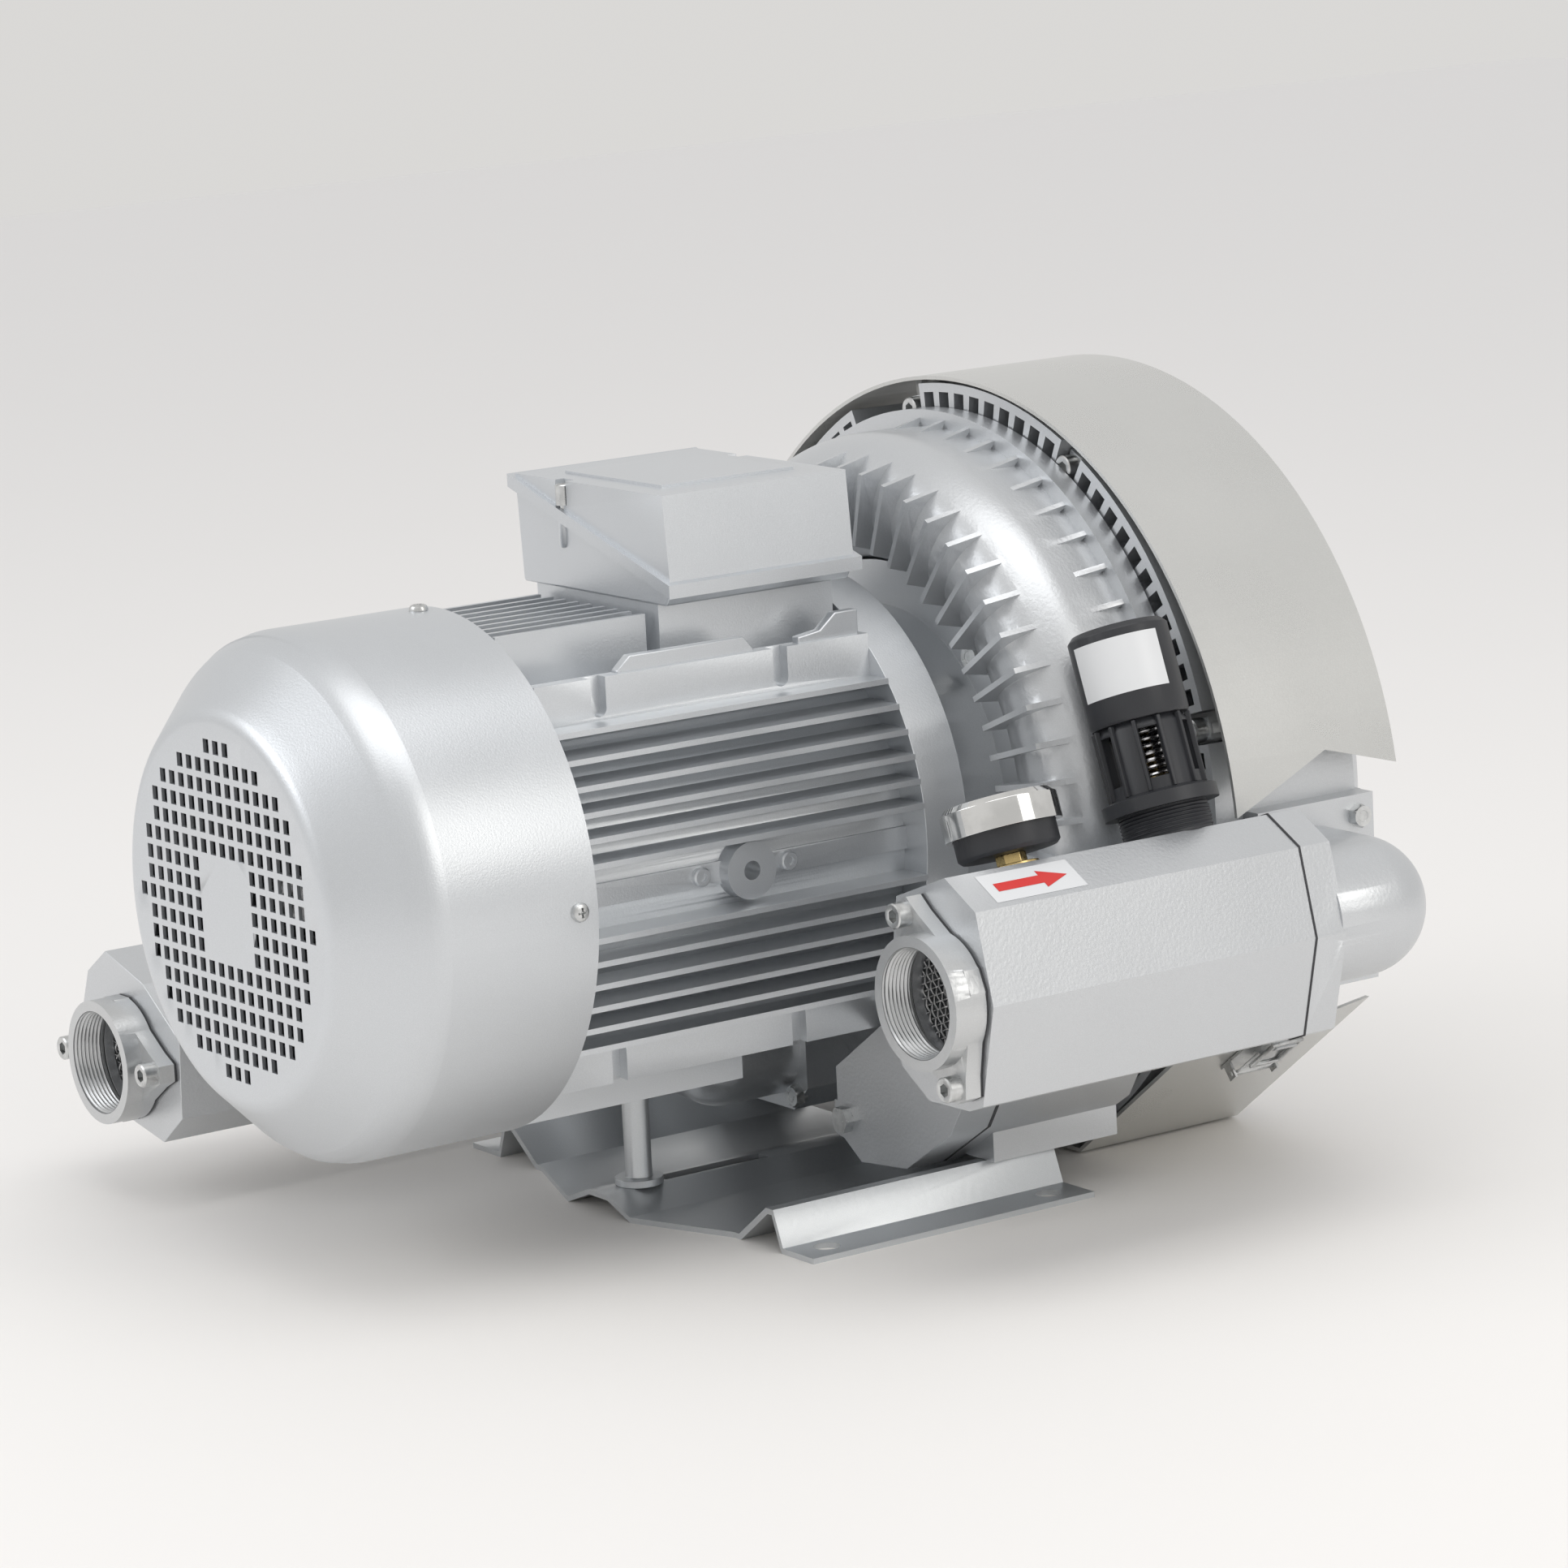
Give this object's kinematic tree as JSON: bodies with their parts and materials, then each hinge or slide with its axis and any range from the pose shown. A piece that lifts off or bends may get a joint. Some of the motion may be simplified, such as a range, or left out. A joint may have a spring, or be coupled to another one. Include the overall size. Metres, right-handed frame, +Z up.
{
  "type": "side channel blower",
  "caption": "Motor-driven ring blower with finned casings under a sheet shroud, two threaded ports with silencers, a pressure gauge and a relief valve, on a ridged base plate",
  "frame": {"origin": "on the ground in the middle of the four foot holes", "axes": "+Z up, +Y along the shaft from the fan cover to the blower, +X to the right seen from the fan cover"},
  "size_m": [0.5742, 0.604, 0.418],
  "materials": {
    "motor_paint": "silver metallic paint, satin",
    "base_steel": "silver paint on bent sheet",
    "zinc": "zinc plated steel",
    "casting": "silver paint on cast aluminium",
    "port_casting": "machined cast aluminium",
    "shroud_sheet": "warm metallic satin",
    "gasket": "pressed fibre, matt",
    "mesh": "woven steel wire",
    "core_steel": "stacked sheet",
    "shaft_steel": "ground steel",
    "copper": "enamelled copper wire",
    "impeller_alloy": "cast aluminium",
    "black_plastic": "moulded, fine grain",
    "chrome": "polished",
    "brass": "turned",
    "glass": "clear",
    "needle": "black"
  },
  "bodies": {
    "housing": {"motor_frame": "motor_paint", "fan_cover": "motor_paint", "terminal_box_base": "motor_paint", "terminal_box_lid": "motor_paint", "motor_flange": "motor_paint", "fan_end_shield": "motor_paint", "base_plate": "base_steel", "motor_post": "base_steel", "foot_bolts": "zinc", "fan_cover_screws": "zinc", "flange_bolts": "zinc", "terminal_lid_screws": "zinc", "casing_screws": "zinc", "port_screws": "zinc", "joint_bolts": "zinc", "left_latch_plate": "zinc", "right_latch_plate": "zinc", "front_casing": "casting", "middle_casing": "casting", "rear_casing": "casting", "bearing_cover": "casting", "duct_cover": "casting", "right_elbow": "casting", "left_duct": "casting", "right_silencer": "casting", "left_silencer": "casting", "right_port_flange": "port_casting", "left_port_flange": "port_casting", "upper_shroud": "shroud_sheet", "lower_shroud": "shroud_sheet", "duct_cover_gasket": "gasket", "right_port_gasket": "gasket", "left_port_gasket": "gasket", "right_mesh": "mesh", "left_mesh": "mesh", "stator_core": "core_steel", "fan_end_bearing": "shaft_steel", "blower_end_bearing": "shaft_steel", "far_bearing": "shaft_steel", "valve_spring": "shaft_steel", "stator_winding": "copper", "valve_body": "black_plastic", "valve_cap": "black_plastic", "gauge_case": "black_plastic", "terminal_block": "black_plastic", "gauge_bezel": "chrome", "gauge_stem": "brass", "gauge_glass": "glass"},
    "rotor": {"shaft": "shaft_steel", "rotor_core": "core_steel", "first_impeller": "impeller_alloy", "second_impeller": "impeller_alloy", "motor_fan": "black_plastic"},
    "gauge_pointer": {"gauge_needle": "needle"},
    "relief_plate": {"valve_plate": "brass"},
    "right_lever": {"right_latch_lever": "zinc"},
    "right_bail": {"right_latch_bail": "zinc"},
    "left_lever": {"left_latch_lever": "zinc"},
    "left_bail": {"left_latch_bail": "zinc"}
  },
  "joints": [
    {"name": "rotor_spin", "type": "hinge", "parent": "housing", "child": "rotor", "pos_m": [0, 0, 0.198], "axis": [0, 1, 0], "continuous": true},
    {"name": "gauge_pointer_turn", "type": "hinge", "parent": "housing", "child": "gauge_pointer", "pos_m": [0.23024, -0.009, 0.23305], "axis": [-0.342, 0, 0.9397], "range_deg": [-270, 0]},
    {"name": "relief_lift", "type": "slide", "parent": "housing", "child": "relief_plate", "axis": [-0.342, 0, 0.9397], "range_m": [0, 0.005], "stiffness_N_per_m": 2500, "springref_m": -0.008, "deforming": ["valve_spring"]},
    {"name": "right_lever_turn", "type": "hinge", "parent": "housing", "child": "right_lever", "pos_m": [0.16913, 0.197, 0.05063], "axis": [0, 1, 0], "range_deg": [0, 110]},
    {"name": "right_bail_turn", "type": "hinge", "parent": "right_lever", "child": "right_bail", "pos_m": [0.17997, 0.197, 0.05616], "axis": [0, 1, 0], "range_deg": [0, 80]},
    {"name": "left_lever_turn", "type": "hinge", "parent": "housing", "child": "left_lever", "pos_m": [-0.16913, 0.197, 0.05063], "axis": [0, -1, 0], "range_deg": [0, 110]},
    {"name": "left_bail_turn", "type": "hinge", "parent": "left_lever", "child": "left_bail", "pos_m": [-0.17997, 0.197, 0.05616], "axis": [0, -1, 0], "range_deg": [0, 80]}
  ]
}
